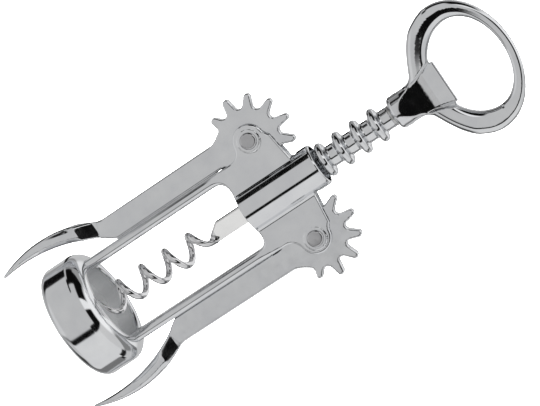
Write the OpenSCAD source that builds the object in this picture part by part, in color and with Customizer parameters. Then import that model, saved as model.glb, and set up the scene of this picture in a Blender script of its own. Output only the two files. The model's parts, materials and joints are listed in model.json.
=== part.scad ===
// Winged lever corkscrew, standing upright, in millimetres.
// Z runs up the worm's axis, X runs across the two levers, and the front faces -Y.
// Z = 0 is the shoulder inside the bell that the bottle's lip stops on.

/* [Bell] */
// Outside diameter of the bell
bell_d = 40; // [38:0.5:48]
// Height of the bell
bell_h = 15.7; // [13:0.1:20]
// Bore that slips over the bottle's lip
seat_d = 32; // [30:0.5:34]
// Depth of the bore, from the bell's foot up to the shoulder
seat_depth = 9; // [6:0.5:10]
// Mouth that the worm passes through
mouth_d = 27; // [24:0.5:28]
// Rounding of the mouth's edge
mouth_round = 0.8; // [0.4:0.1:1.5]
// Rounding of the bell's upper edge
bell_top_round = 5; // [2:0.5:6]
// Rounding of the bell's lower edge
bell_foot_round = 3.3; // [1:0.1:4]

/* [Body shells] */
// Thickness of the pressed sheet
sheet_t = 0.9; // [0.7:0.1:1.2]
// Outside diameter of the tube
tube_d = 14.5; // [14.5:0.1:18]
// Length of the tube
tube_h = 28.5; // [27:0.5:36]
// Open height between the bell and the tube
window_h = 53.3; // [45:0.5:65]
// Width of each leg
leg_w = 3.4; // [3:0.1:4.2]
// How far a leg's centre stands outside the mouth's wall
leg_outset = 0.5; // [0.3:0.1:1.5]
// How deep the legs reach into the bell's top
leg_socket = 4.7; // [3:0.1:6]
// Height of the pivots above the tube's lower end
pivot_rise = 14.2; // [13:0.1:17]
// Radius of the ear around a pivot
ear_r = 5.3; // [4.6:0.1:6.5]
// Drop from the tube's top to the ears' upper edge
ear_drop = 7; // [5:0.5:10]
// Radius of the bend between an ear and the tube
bend_r = 1.2; // [0.8:0.1:1.6]
// Corner radius of the window between the legs
window_r = 3.5; // [2:0.5:4.5]

/* [Levers] */
// Thickness of a lever
lever_t = 4; // [3:0.1:5]
// Teeth that would fill a whole turn
teeth_per_turn = 12; // [11:1:13]
// Number of teeth on a lever
teeth = 8; // [6:1:8]
// Height of a tooth's tip above the pitch circle
tooth_above = 2.15; // [1.8:0.05:2.3]
// Depth of a tooth's root below the pitch circle
tooth_below = 2.4; // [2.2:0.1:3]
// Radius of a tooth's tip
tooth_tip_r = 1.2; // [0.7:0.05:1.25]
// Width of a tooth at its root
tooth_root_w = 3.7; // [2.8:0.1:3.8]
// Width of the flat arm
arm_w = 8; // [6.5:0.1:9.5]
// Gap between a leg and the arm beside it
arm_gap = 0.15; // [0.1:0.05:1.5]
// Radius where the last tooth runs into the arm
arm_fillet = 3; // [2:0.5:4]
// Height where the arm's outer edge starts to curve
horn_top = 18; // [14:0.5:24]
// Height of the horn's tip below the bottle seat
horn_drop = 19.4; // [14:0.2:24]
// Gap between the bell and the horn at its widest
horn_gap = 4.3; // [2:0.1:6]
// Width of the horn where it passes the bell
horn_w = 5; // [4:0.1:6]
// Thickness of the horn where it is thickest
horn_t = 6.4; // [5:0.1:7]
// Height from there up to where the arm's edge starts to curve
horn_swell = 9; // [7:0.5:12]
// Thickness of the horn at its tip
horn_tip_t = 1.6; // [1.2:0.1:2.5]
// Width of the horn at its tip
horn_tip_w = 0.9; // [0.6:0.1:1.5]

/* [Rack] */
// Distance between ridges
ridge_pitch = 6.6; // [6:0.1:7.9]
// Outside diameter of the ridges
ridge_d = 12; // [11:0.1:12.3]
// Radius of a ridge's crest
ridge_crest_r = 1.35; // [1:0.05:1.5]
// Width of a ridge at its foot
ridge_foot_w = 3.4; // [2.8:0.1:3.6]
// Diameter of the sleeve between ridges
core_d = 7.2; // [6.6:0.1:7.6]
// Ridges that the rack moves down in its full travel
travel_ridges = 4; // [3:1:4]
// Height of the mesh point above the pivots
mesh_rise = 0.1; // [-0.3:0.1:0.3]
// Angle of the meshing tooth below the mesh point, within the backlash
tooth_lag = 1.5; // [0:0.1:2]

/* [Handle] */
// Outside width of the ring
ring_w = 45; // [38:0.5:52]
// Outside height of the ring, above and below its widest point
ring_h = 32.6; // [28:0.2:38]
// Width of the finger hole
hole_w = 31.4; // [26:0.2:34]
// Height of the finger hole above its widest point
hole_up = 10.6; // [9:0.2:12]
// Height of the finger hole below its widest point, beside the cap lifter
hole_down = 20.3; // [18:0.1:22]
// Width of the ring's metal at the top
ring_top_t = 3.2; // [2.6:0.1:4.5]
// Thickness of the ring from front to back
ring_t = 6.4; // [5:0.1:8]
// Diameter of the collar under the ring
collar_d = 11.6; // [10.5:0.1:13]
// Height of the collar's straight part
collar_h = 7; // [5:0.5:9]
// Height from the collar's foot to the ring's widest point
ring_rise = 27; // [25:0.5:32]
// Width of the cap lifter's edge
lifter_w = 15; // [12:0.5:17]
// How much narrower the cap lifter is at its neck, on each side
lifter_taper = 2.4; // [1.5:0.1:3]
// Height of the cap lifter's tapered part
lifter_taper_h = 5.2; // [4:0.1:7]
// Thickness of the cap lifter
lifter_t = 2.4; // [2:0.1:3.5]
// Height of the cap lifter's edge above the collar's foot
lifter_rise = 19.3; // [17:0.1:22]
// Metal left between the shank and the trough in the neck's front
trough_wall = 0.7; // [0.5:0.1:1.2]

/* [Shank and worm] */
// Diameter of the shank
shank_d = 4.4; // [4:0.1:5]
// Diameter of the pin through the collar
handle_pin_d = 1.8; // [1.4:0.1:2.2]
// Height of that pin above the collar's foot
handle_pin_rise = 3.2; // [2.5:0.1:4.5]
// Height of the socket that holds the worm
socket_h = 6; // [5:0.1:7]
// Diameter of the pin through the socket
worm_pin_d = 1.6; // [1.2:0.1:2]
// Thickness of the washer on top of the rack
thrust_t = 0.6; // [0.4:0.1:0.8]
// Width of the worm's flat blade
blade_w = 6.2; // [5.4:0.1:6.8]
// Thickness of that blade
blade_t = 1.6; // [1.2:0.1:2]
// Turn of the blade away from facing the front, in degrees
blade_turn = 14; // [0:1:20]
// Length of blade that shows under the tube
blade_h = 10.5; // [8:0.5:14]
// Diameter of the worm's wire
wire_d = 2.4; // [2:0.1:2.8]
// Outside diameter of the worm's coil
coil_d = 10.4; // [9:0.1:12]
// Rise of the coil in one turn
coil_pitch = 9.3; // [8:0.1:11]

/* [Pivots] */
// Diameter of a rivet's shank
rivet_d = 4; // [3.2:0.1:4.6]
// Diameter of a rivet's head
rivet_head_d = 5.6; // [5:0.1:6.4]
// Height of a rivet's head
rivet_head_h = 0.9; // [0.6:0.1:1.2]
// Diameter of the raised ring around a rivet
boss_d = 7.4; // [6.6:0.1:9]
// Height of that ring
boss_h = 0.25; // [0.1:0.05:0.5]
// Wall of the bush that a lever turns on
bush_wall = 0.8; // [0.6:0.1:1]
// Outside diameter of a pivot washer
washer_d = 9.2; // [8.4:0.1:10]
// Thickness of a pivot washer
washer_t = 0.42; // [0.3:0.02:0.6]

/* [Fits] */
// Radial gap between a lever and its bush
pivot_fit = 0.06; // [0.02:0.01:0.1]
// Radial gap between the shank and the rack's sleeve
shank_fit = 0.07; // [0.02:0.01:0.1]
// Gap between a lever's face and its washer
washer_fit = 0.08; // [0.05:0.01:0.2]
// Gap between the rack's ends and what holds it on the shank
end_fit = 0.2; // [0.1:0.05:0.3]
// Gap between a tooth's tip and the rack's core
tip_fit = 0.35; // [0.3:0.05:0.6]
// Gap between the gear teeth and what they sweep past
sweep_fit = 0.5; // [0.3:0.1:1]
// Gap between the collar and the tube at the end of the travel
stop_gap = 1.6; // [0.5:0.1:3]

/* [Hidden] */
$fn = 96;
over = 1; // how far a cutter runs past the face it opens
shank_seat = 2; // how far the shank enters the worm's socket
shank_stand = 0.5; // how far the shank stands above the collar's straight part
socket_inset = 0.8; // from the tube's lower end up to the socket
pin_inset = 0.15; // how far a cross pin's ends lie inside the bar that it holds

// Heights, all from the bottle seat
bell_top = bell_h - seat_depth;
tube_foot = bell_top + window_h;
tube_top = tube_foot + tube_h;
ear_top = tube_top - ear_drop;
pivot_z = tube_foot + pivot_rise;
travel = travel_ridges * ridge_pitch;
collar_foot = tube_top + travel + stop_gap;
ring_z = collar_foot + ring_rise;
leg_foot = bell_top - leg_socket;
sleeve_top = collar_foot - end_fit - thrust_t;
socket_foot = tube_foot + socket_inset;
socket_top = socket_foot + socket_h;
sleeve_foot = socket_top + end_fit;

// Gear and rack
pitch_r = teeth_per_turn * ridge_pitch / (2 * PI);
tip_r = pitch_r + tooth_above;
root_r = pitch_r - tooth_below;
pivot_x = core_d / 2 + tip_fit + tip_r;
mesh_z = pivot_z + mesh_rise;
bush_r = rivet_d / 2 + bush_wall;

// Places across the body
tube_r = tube_d / 2;
leg_x = mouth_d / 2 + leg_outset;
leg_out = leg_x + leg_w / 2;
leg_in = leg_x - leg_w / 2;
arm_in = leg_out + arm_gap;
arm_out = arm_in + arm_w;
arm_foot = horn_top + 2.6; // where the arm's inner edge starts to curve
ear_in = lever_t / 2 + washer_fit + washer_t; // inner face of an ear, from the middle
ear_out = ear_in + sheet_t;                   // outer face of an ear
boss_out = ear_out + boss_h;

// Circle through three points, as [centre x, centre y, radius]
function circle3(a, b, c) =
    let (d = 2 * (a[0] * (b[1] - c[1]) + b[0] * (c[1] - a[1]) + c[0] * (a[1] - b[1])),
         x = (a * a * (b[1] - c[1]) + b * b * (c[1] - a[1]) + c * c * (a[1] - b[1])) / d,
         y = (a * a * (c[0] - b[0]) + b * b * (a[0] - c[0]) + c * c * (b[0] - a[0])) / d)
    [x, y, norm(a - [x, y])];

// A solid skin over a list of closed rings of points, with flat ends
module skin(rings) {
    n = len(rings[0]);
    last = len(rings) - 1;
    polyhedron(
        points = [for (r = rings) each r],
        faces = concat(
            [[for (i = [0 : n - 1]) i]],
            [for (k = [0 : last - 1], i = [0 : n - 1])
                let (a = k * n + i, b = k * n + (i + 1) % n) [b, a, a + n, b + n]],
            [[for (i = [n - 1 : -1 : 0]) last * n + i]]),
        convexity = 8);
}

// Extrudes an outline drawn in X and Z, evenly to both sides of Y = y
module upright(thickness, y = 0) {
    translate([0, y, 0]) rotate([90, 0, 0])
        linear_extrude(thickness, center = true) children();
}

// A straight round bar along Y, from y0 to y1, about the pivot on the right
module pivot_bar(r, y0, y1) {
    translate([pivot_x, y1, pivot_z]) rotate([90, 0, 0]) cylinder(r = r, h = y1 - y0);
}

module left() { mirror([1, 0, 0]) children(); }

// ---- Bell ----

module bell_half_section() {
    r = bell_d / 2;
    mouth_r = mouth_d / 2;
    difference() {
        intersection() {
            union() {
                translate([0, -seat_depth + bell_foot_round])
                    square([r, bell_h - bell_foot_round - bell_top_round]);
                translate([0, -seat_depth]) square([r - bell_foot_round, bell_foot_round]);
                translate([r - bell_foot_round, -seat_depth + bell_foot_round])
                    circle(bell_foot_round);
                translate([0, bell_top - bell_top_round])
                    square([r - bell_top_round, bell_top_round]);
                translate([r - bell_top_round, bell_top - bell_top_round])
                    circle(bell_top_round);
            }
            translate([mouth_r, -seat_depth]) square([r, bell_h]);
        }
        difference() {
            translate([mouth_r - over, bell_top - mouth_round]) square(mouth_round + over);
            translate([mouth_r + mouth_round, bell_top - mouth_round]) circle(mouth_round);
        }
        translate([0, -seat_depth - over]) square([seat_d / 2, seat_depth + over]);
    }
}

module leg_plan(r, y_far) {
    translate([leg_x, -y_far + r]) circle(r);
    translate([leg_x - r, -y_far + r]) square([2 * r, y_far - r]);
}

module bell() {
    color([0.80, 0.81, 0.82]) difference() {
        rotate_extrude() bell_half_section();
        for (side = [0, 1], face = [0, 1]) mirror([side, 0, 0]) mirror([0, face, 0])
            translate([0, 0, leg_foot]) linear_extrude(bell_h) leg_plan(leg_w / 2, ear_out);
    }
}

// ---- Body shells ----

// The sheet's section across the tube and the ears, on the front side
module sheet_plan() {
    reach = pivot_x + ear_r + over;
    bend_x = sqrt(pow(tube_r + bend_r, 2) - pow(ear_out + bend_r, 2));
    on_tube = [bend_x, -ear_out - bend_r] * tube_r / (tube_r + bend_r);
    difference() {
        union() {
            translate([-reach, -ear_out]) square([2 * reach, sheet_t]);
            intersection() {
                circle(tube_r);
                translate([-tube_r, -tube_r]) square([tube_d, tube_r - ear_in]);
            }
            for (side = [0, 1]) mirror([side, 0]) difference() {
                polygon([[0, -ear_out], [bend_x, -ear_out], [bend_x, -ear_out - bend_r],
                    on_tube]);
                translate([bend_x, -ear_out - bend_r]) circle(bend_r);
            }
        }
        circle(tube_r - sheet_t);
    }
}

// The ear's outline on the right, in X and Z, down to the top of the leg
module ear_outline() {
    blend_r = 4; // where the ear's end runs into the leg
    bx = leg_out + blend_r;
    bz = pivot_z - sqrt(pow(ear_r + blend_r, 2) - pow(bx - pivot_x, 2));
    lean = 7; // how far the upper edge leans outwards, in degrees
    translate([pivot_x, pivot_z]) circle(ear_r);
    difference() {
        polygon([[0, tube_foot], [leg_out, tube_foot], [leg_out, bz], [bx, bz],
            [pivot_x, pivot_z],
            [pivot_x + ear_r * sin(lean), pivot_z + ear_r * cos(lean)],
            [tube_r, ear_top], [0, ear_top]]);
        translate([bx, bz]) circle(blend_r);
    }
    difference() {
        translate([leg_in - window_r, tube_foot - window_r])
            square([window_r + leg_w / 2, window_r + over]);
        translate([leg_in - window_r, tube_foot - window_r]) circle(window_r);
    }
}

// The tube's upper part, where both shells close round the rack
module tube_section() {
    lip_r = 0.7;
    translate([tube_r - sheet_t, tube_foot]) square([sheet_t, tube_h - lip_r]);
    intersection() {
        union() {
            translate([0, tube_top - lip_r]) square([tube_r - lip_r, lip_r]);
            translate([tube_r - lip_r, tube_top - lip_r]) circle(lip_r);
        }
        translate([tube_r - sheet_t, tube_foot]) square([sheet_t, tube_h]);
    }
}

module front_half() {
    far = bell_d;
    translate([-far, -far, -seat_depth]) cube([2 * far, far, tube_top + seat_depth + over]);
}

// What the gear teeth sweep through, between the ears
module gear_sweep() {
    for (side = [0, 1]) mirror([side, 0, 0]) pivot_bar(tip_r + sweep_fit, -ear_in, ear_in);
}

module leg() {
    translate([0, 0, leg_foot]) linear_extrude(tube_foot - leg_foot) difference() {
        leg_plan(leg_w / 2, ear_out);
        leg_plan(leg_w / 2 - sheet_t, ear_out - sheet_t);
    }
}

module shell() {
    difference() {
        union() {
            intersection() {
                rotate_extrude() tube_section();
                front_half();
            }
            intersection() {
                translate([0, 0, tube_foot - window_r - over])
                    linear_extrude(ear_top - tube_foot + window_r + over) sheet_plan();
                upright(4 * ear_out) union() {
                    ear_outline();
                    mirror([1, 0]) ear_outline();
                }
            }
            for (side = [0, 1]) mirror([side, 0, 0]) {
                leg();
                pivot_bar(boss_d / 2, -boss_out, -ear_in);
            }
        }
        gear_sweep();
        for (side = [0, 1]) mirror([side, 0, 0])
            pivot_bar(rivet_d / 2, -boss_out - over, 0);
    }
}

module front_shell() { color([0.76, 0.77, 0.78]) shell(); }

module back_shell() { color([0.70, 0.71, 0.73]) mirror([0, 1, 0]) shell(); }

// ---- Pivots ----

module rivet() {
    edge = 0.4;
    r = rivet_head_d / 2;
    y = boss_out;
    translate([pivot_x, 0, pivot_z]) rotate([90, 0, 0]) {
        cylinder(r = rivet_d / 2, h = 2 * y, center = true);
        for (face = [0, 1]) mirror([0, 0, face]) translate([0, 0, y]) {
            cylinder(r = r, h = rivet_head_h - edge);
            translate([0, 0, rivet_head_h - edge]) cylinder(r1 = r, r2 = r - edge, h = edge);
        }
    }
}

module right_rivet() { color([0.72, 0.73, 0.75]) rivet(); }

module left_rivet() { color([0.72, 0.73, 0.75]) left() rivet(); }

module bush() {
    difference() {
        pivot_bar(bush_r, -ear_in, ear_in);
        pivot_bar(rivet_d / 2, -ear_in - over, ear_in + over);
    }
}

module right_bush() { color([0.78, 0.66, 0.40]) bush(); }

module left_bush() { color([0.78, 0.66, 0.40]) left() bush(); }

module washer() {
    difference() {
        pivot_bar(washer_d / 2, -ear_in, -ear_in + washer_t);
        pivot_bar(bush_r, -ear_in - over, over);
    }
}

module right_front_washer() { color([0.55, 0.56, 0.58]) washer(); }

module right_back_washer() { color([0.55, 0.56, 0.58]) mirror([0, 1, 0]) washer(); }

module left_front_washer() { color([0.55, 0.56, 0.58]) left() washer(); }

module left_back_washer() {
    color([0.55, 0.56, 0.58]) left() mirror([0, 1, 0]) washer();
}

// ---- Levers ----

module tooth(reach) {
    tip = reach - tooth_tip_r;
    translate([tip, 0]) circle(tooth_tip_r);
    polygon([[0, -tooth_root_w / 2], [root_r, -tooth_root_w / 2], [tip, -tooth_tip_r],
        [tip, tooth_tip_r], [root_r, tooth_root_w / 2], [0, tooth_root_w / 2]]);
}

// The gear's outline about the pivot of the right lever
module gear_outline() {
    step = 360 / teeth_per_turn;
    last_short = 1.2; // the last tooth is lower, and runs into the arm
    circle(root_r);
    for (k = [0 : teeth - 1]) rotate(180 + tooth_lag - k * step)
        tooth(tip_r - (k == teeth - 1 ? last_short : 0));
}

// Fills the corner between the last tooth and the arm
module arm_root() {
    slope = 31; // lower flank of the last tooth, in degrees
    flank = 27; // where that flank starts on the gear, in degrees below level
    end = [pivot_x, pivot_z] + 1.078 * pitch_r * [cos(flank), -sin(flank)];
    fx = arm_out + arm_fillet;
    fz = end[1] - (end[0] - fx) * tan(slope) - arm_fillet / cos(slope);
    difference() {
        polygon([[pivot_x, pivot_z], end, [fx, fz], [arm_out, fz], [arm_in, fz]]);
        translate([fx, fz]) circle(arm_fillet);
        translate([fx, fz]) polygon([[0, 0],
            [-arm_fillet * sin(slope), arm_fillet * cos(slope)],
            [end[0] - fx, end[1] - fz], [end[0] - fx + over, 0]]);
    }
}

// The curved horn's outline, between an outer and an inner arc
module horn_outline() {
    inner_x = bell_d / 2 + horn_gap;
    tip_x = inner_x + 1;
    outer = circle3([arm_out, horn_top], [inner_x + horn_w, 0],
        [tip_x + horn_tip_w, -horn_drop]);
    inner = circle3([arm_in, arm_foot], [inner_x, 2], [tip_x, -horn_drop]);
    difference() {
        union() {
            intersection() {
                translate([outer[0], outer[1]]) circle(outer[2], $fn = 256);
                translate([arm_in, -horn_drop]) square([bell_d, horn_top + horn_drop]);
            }
            translate([arm_in, horn_top]) square([arm_w, arm_foot - horn_top]);
        }
        translate([inner[0], inner[1]]) circle(inner[2], $fn = 256);
    }
}

// The horn's section from front to back, which swells below the arm and thins to the tip
module horn_profile() {
    swell_z = horn_top - horn_swell;
    half = [[lever_t / 2, arm_foot + over], [lever_t / 2, horn_top - 2],
        [horn_t / 2, swell_z], [horn_tip_t / 2, -horn_drop]];
    polygon(concat(half, [for (k = [3 : -1 : 0]) [-half[k][0], half[k][1]]]));
}

module lever() {
    difference() {
        union() {
            upright(lever_t) {
                translate([pivot_x, pivot_z]) gear_outline();
                arm_root();
                translate([arm_in, arm_foot]) square([arm_w, pivot_z - arm_foot]);
            }
            intersection() {
                upright(horn_t + over) horn_outline();
                rotate([90, 0, 90]) linear_extrude(2 * bell_d) horn_profile();
            }
        }
        pivot_bar(bush_r + pivot_fit, -lever_t, lever_t);
    }
}

module right_lever() { color([0.74, 0.75, 0.77]) lever(); }

module left_lever() { color([0.74, 0.75, 0.77]) left() lever(); }

// ---- Rack ----

module ridge_section() {
    crest = ridge_d / 2 - ridge_crest_r;
    translate([crest, 0]) circle(ridge_crest_r);
    polygon([[shank_d / 2 + shank_fit, -ridge_foot_w / 2], [core_d / 2, -ridge_foot_w / 2],
        [crest, -ridge_crest_r], [crest, ridge_crest_r],
        [core_d / 2, ridge_foot_w / 2], [shank_d / 2 + shank_fit, ridge_foot_w / 2]]);
}

module rack_sleeve() {
    count = floor((sleeve_top - mesh_z) / ridge_pitch - 0.5);
    color([0.77, 0.78, 0.80]) rotate_extrude() {
        translate([shank_d / 2 + shank_fit, sleeve_foot])
            square([core_d / 2 - shank_d / 2 - shank_fit, sleeve_top - sleeve_foot]);
        for (k = [-1 : count])
            translate([0, mesh_z + (k + 0.5) * ridge_pitch]) ridge_section();
    }
}

module thrust_washer() {
    color([0.55, 0.56, 0.58]) translate([0, 0, sleeve_top]) difference() {
        cylinder(d = core_d, h = thrust_t);
        translate([0, 0, -over])
            cylinder(r = shank_d / 2 + shank_fit, h = thrust_t + 2 * over);
    }
}

// ---- Handle ----

// A point on the ring's outer edge, at angle a from the top
function ring_edge(a) = [ring_w * sin(a), ring_h * cos(a)] / 2;

// A point on the finger hole's edge. Its lower half narrows beside the cap lifter.
function hole_edge(a) =
    let (c = cos(a), egg = 0.557, z0 = ring_h / 2 - ring_top_t - hole_up)
    [hole_w / 2 * sin(a),
        z0 + (c > 0 ? hole_up * c : hole_down * (egg * c - (1 - egg) * pow(c, 8)))];

// Rings of points along the handle's hoop, from one arm round the top to the other
function hoop_rings(sides, steps) =
    let (end = 160)
    [for (k = [0 : steps])
        let (a = -end + 2 * end * k / steps, outer = ring_edge(a), hole = hole_edge(a),
             mid = (outer + hole) / 2, half = (outer - hole) / 2)
        [for (s = [0 : sides - 1]) let (t = 360 * s / sides, p = mid + half * cos(t))
            [p[0], -ring_t / 2 * sin(t), ring_z + p[1]]]];

module neck() {
    shoulder_z = collar_foot + collar_h + 6; // where the neck meets the hoop's arms
    shoulder_w = collar_d + 7.6;             // the neck's width there
    translate([0, 0, collar_foot]) cylinder(d = collar_d, h = collar_h);
    hull() {
        translate([0, 0, collar_foot + collar_h - 1]) cylinder(d = collar_d, h = 1, $fn = 32);
        for (x = [-1, 1]) translate([x * (shoulder_w - ring_t) / 2, 0, shoulder_z])
            sphere(d = ring_t, $fn = 24);
    }
}

module lifter_outline() {
    top = collar_foot + lifter_rise;
    foot = collar_foot + collar_h + shank_seat; // inside the neck
    half = [[collar_d / 2, foot], [lifter_w / 2 - lifter_taper, top - lifter_taper_h],
        [lifter_w / 2, top]];
    polygon(concat(half, [for (k = [2 : -1 : 0]) [-half[k][0], half[k][1]]]));
}

// Cuts the trough in the neck's front, which widens upwards at an even depth
module trough() {
    height = collar_h + 9;
    r_foot = 1.7;
    r_top = 4.1;
    floor_y = -shank_d / 2 - trough_wall;
    translate([0, floor_y - r_foot, collar_foot - over])
        rotate([atan((r_top - r_foot) / height), 0, 0])
            cylinder(r1 = r_foot, r2 = r_top, h = height);
}

module handle_ring() {
    color([0.80, 0.80, 0.81]) difference() {
        union() {
            skin(hoop_rings(16, 56));
            neck();
            upright(lifter_t) lifter_outline();
        }
        trough();
        translate([0, 0, collar_foot - over])
            cylinder(d = shank_d, h = collar_h + over + shank_stand);
        translate([0, 0, collar_foot + handle_pin_rise]) rotate([0, 90, 0])
            cylinder(d = handle_pin_d, h = collar_d + 2 * over, center = true);
    }
}

module handle_pin() {
    color([0.66, 0.67, 0.69]) translate([0, 0, collar_foot + handle_pin_rise])
        rotate([0, 90, 0]) cylinder(d = handle_pin_d, h = collar_d - 2 * pin_inset, center = true);
}

// ---- Shank and worm ----

module shank() {
    foot = socket_top - shank_seat;
    color([0.68, 0.69, 0.71]) difference() {
        translate([0, 0, foot])
            cylinder(d = shank_d, h = collar_foot + collar_h + shank_stand - foot);
        translate([0, 0, collar_foot + handle_pin_rise]) rotate([0, 90, 0])
            cylinder(d = handle_pin_d, h = collar_d, center = true);
    }
}

module worm_pin_bar(length) {
    translate([0, 0, socket_foot + 2]) rotate([90, 0, 0])
        cylinder(d = worm_pin_d, h = length, center = true);
}

module worm_socket() {
    color([0.68, 0.69, 0.71]) difference() {
        translate([0, 0, socket_foot]) cylinder(d = core_d, h = socket_h);
        translate([0, 0, socket_top - shank_seat])
            cylinder(d = shank_d, h = shank_seat + over);
        rotate(blade_turn) translate([-blade_w / 2, -blade_t / 2, socket_foot - over])
            cube([blade_w, blade_t, socket_h - shank_seat + over]);
        worm_pin_bar(core_d + over);
    }
}

module worm_pin() { color([0.66, 0.67, 0.69]) worm_pin_bar(core_d - 2 * pin_inset); }

// Centre line of the coil. The angle a runs down the coil from the right, round the front.
coil_start_z = tube_foot - blade_h - 10; // height of the coil's first pass on the left
coil_start_r = 2; // radius of the coil where it leaves the blade
coil_end = 1575; // angle of the worm's point
coil_steep = 1.35; // how much steeper the first half turn is
point_a = 130; // angle over which the wire thins to its point
function coil_r(a) = let (full = (coil_d - wire_d) / 2)
    a < 180 ? coil_start_r + (full - coil_start_r) * (1 - cos(a)) / 2 : full;
function coil_z(a) = coil_start_z + (180 - a) * coil_pitch / 360 * (a < 180 ? coil_steep : 1);
function coil_point(a) = [coil_r(a) * cos(a), -coil_r(a) * sin(a), coil_z(a)];
function wire_r(a) = wire_d / 2 * min(1, 0.2 + 0.8 * (coil_end - a) / point_a);

// One ring of the wire, square to the centre line
function wire_ring(a, sides) =
    let (t = coil_point(a + 1) - coil_point(a - 1), along = t / norm(t),
         out = [cos(a), -sin(a), 0], n = cross(along, out) / norm(cross(along, out)),
         b = cross(n, along))
    [for (s = [0 : sides - 1])
        coil_point(a) + wire_r(a) * (cos(360 * s / sides) * b + sin(360 * s / sides) * n)];

// The flat blade, which narrows on the right to the width of the wire
module blade_outline() {
    top = socket_top - shank_seat;
    shoulder = tube_foot - blade_h;
    foot = shoulder - 4.2;
    half = blade_w / 2;
    corner = [0.6, 1.2]; // cut off the blade's lower right corner
    polygon([[-half, top], [-half, shoulder], [coil_start_r - wire_d * 0.75, foot],
        [half - corner[0], foot], [half, foot + corner[1]], [half, top]]);
}

module worm() {
    color([0.84, 0.85, 0.85]) difference() {
        union() {
            rotate(blade_turn) upright(blade_t) blade_outline();
            skin([for (a = [0 : 15 : coil_end]) wire_ring(a, 10)]);
        }
        worm_pin_bar(2 * blade_t);
    }
}

handle_ring();
handle_pin();
shank();
thrust_washer();
rack_sleeve();
worm_socket();
worm_pin();
worm();
front_shell();
back_shell();
bell();
left_lever();
right_lever();
left_rivet();
right_rivet();
left_bush();
right_bush();
left_front_washer();
left_back_washer();
right_front_washer();
right_back_washer();
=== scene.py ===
"""Looks of the winged lever corkscrew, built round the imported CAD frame.

Shapes are worked out in millimetres and scaled to metres when a mesh is made. The handle,
levers, shells, bell, worm, rack and rivets are surfaces of signed distance functions, so
that their blends and normals are smooth, which is what chrome needs. The shank, pins,
socket, bushes and washers are the frame's own meshes.
"""
import json
import math

import bpy
import numpy as np
from mathutils import Matrix, Vector


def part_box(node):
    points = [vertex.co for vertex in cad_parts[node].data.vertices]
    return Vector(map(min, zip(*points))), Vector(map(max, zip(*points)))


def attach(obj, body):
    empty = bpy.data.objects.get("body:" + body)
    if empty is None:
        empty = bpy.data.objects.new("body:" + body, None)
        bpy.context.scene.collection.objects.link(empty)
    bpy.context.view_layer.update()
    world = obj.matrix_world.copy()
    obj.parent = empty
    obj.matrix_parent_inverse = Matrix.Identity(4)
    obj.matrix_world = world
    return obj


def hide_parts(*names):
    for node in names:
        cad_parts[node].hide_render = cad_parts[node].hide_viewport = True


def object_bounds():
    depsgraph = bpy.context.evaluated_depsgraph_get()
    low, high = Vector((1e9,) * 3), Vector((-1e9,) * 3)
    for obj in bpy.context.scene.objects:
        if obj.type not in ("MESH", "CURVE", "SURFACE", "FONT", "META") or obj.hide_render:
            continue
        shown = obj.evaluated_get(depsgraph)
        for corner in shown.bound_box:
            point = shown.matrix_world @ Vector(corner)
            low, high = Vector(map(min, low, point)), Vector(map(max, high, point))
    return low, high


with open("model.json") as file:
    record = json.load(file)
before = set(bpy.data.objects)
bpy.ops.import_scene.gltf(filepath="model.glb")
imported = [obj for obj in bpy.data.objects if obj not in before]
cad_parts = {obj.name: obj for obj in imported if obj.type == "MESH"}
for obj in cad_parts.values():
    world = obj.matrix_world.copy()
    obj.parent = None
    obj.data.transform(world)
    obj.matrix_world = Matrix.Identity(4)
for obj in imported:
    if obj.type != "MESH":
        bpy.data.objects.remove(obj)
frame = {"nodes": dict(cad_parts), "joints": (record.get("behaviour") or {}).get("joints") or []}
CAD_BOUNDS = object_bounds()
MM = 0.001
MIRROR_X = np.array([-1, 1, 1])
MIRROR_Y = np.array([1, -1, 1])


# ---------------------------------------------------------------- sizes from the frame

def box_mm(node):
    """Lowest and highest corners of a CAD node, in millimetres."""
    low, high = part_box(node)
    return np.array(low) / MM, np.array(high) / MM


def joint(name):
    """What the frame says of a joint."""
    return next(j for j in frame["joints"] if j["name"] == name)


PIVOT_X, _, PIVOT_Z = np.array(joint("right_lever_pivot")["pos_m"]) / MM
TRAVEL_RIDGES = 4                  # the rack's full travel, in ridges
RIDGE_PITCH = joint("rack_slide")["range_m"][1] / MM / TRAVEL_RIDGES
BELL_LOW, BELL_HIGH = box_mm("bell")
BELL_R, BELL_FOOT, BELL_TOP = BELL_HIGH[0], BELL_LOW[2], BELL_HIGH[2]
LEVER_LOW, LEVER_HIGH = box_mm("right_lever")
HORN_TIP_Z, HORN_HALF_T = LEVER_LOW[2], LEVER_HIGH[1]
RING_LOW, RING_HIGH = box_mm("handle_ring")
COLLAR_FOOT, RING_TOP, RING_HALF = RING_LOW[2], RING_HIGH[2], RING_HIGH[0]
TUBE_TOP = box_mm("front_shell")[1][2]
SLEEVE_LOW, SLEEVE_HIGH = box_mm("rack_sleeve")
RIVET_LOW, RIVET_HIGH = box_mm("right_rivet")
WORM_LOW, WORM_HIGH = box_mm("worm")
WORM_PIN_R = 0.8
WORM_PIN_Z = box_mm("worm_pin")[0][2] + WORM_PIN_R


# ---------------------------------------------------------------- distance functions

def smooth_union(a, b, r):
    """Union of two distances with a fillet of about radius r."""
    h = np.clip(0.5 + 0.5 * (b - a) / r, 0, 1)
    return b + (a - b) * h - r * h * (1 - h)


def smooth_cut(a, b, r):
    """What is in a and not in b, with a rounded edge of about radius r."""
    return -smooth_union(-a, b, r)


def fillet_union(a, b, r):
    """Union of two distances with a fillet of radius r where they meet squarely."""
    u, v = np.maximum(r - a, 0), np.maximum(r - b, 0)
    return np.maximum(r, np.minimum(a, b)) - np.sqrt(u * u + v * v)


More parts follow.
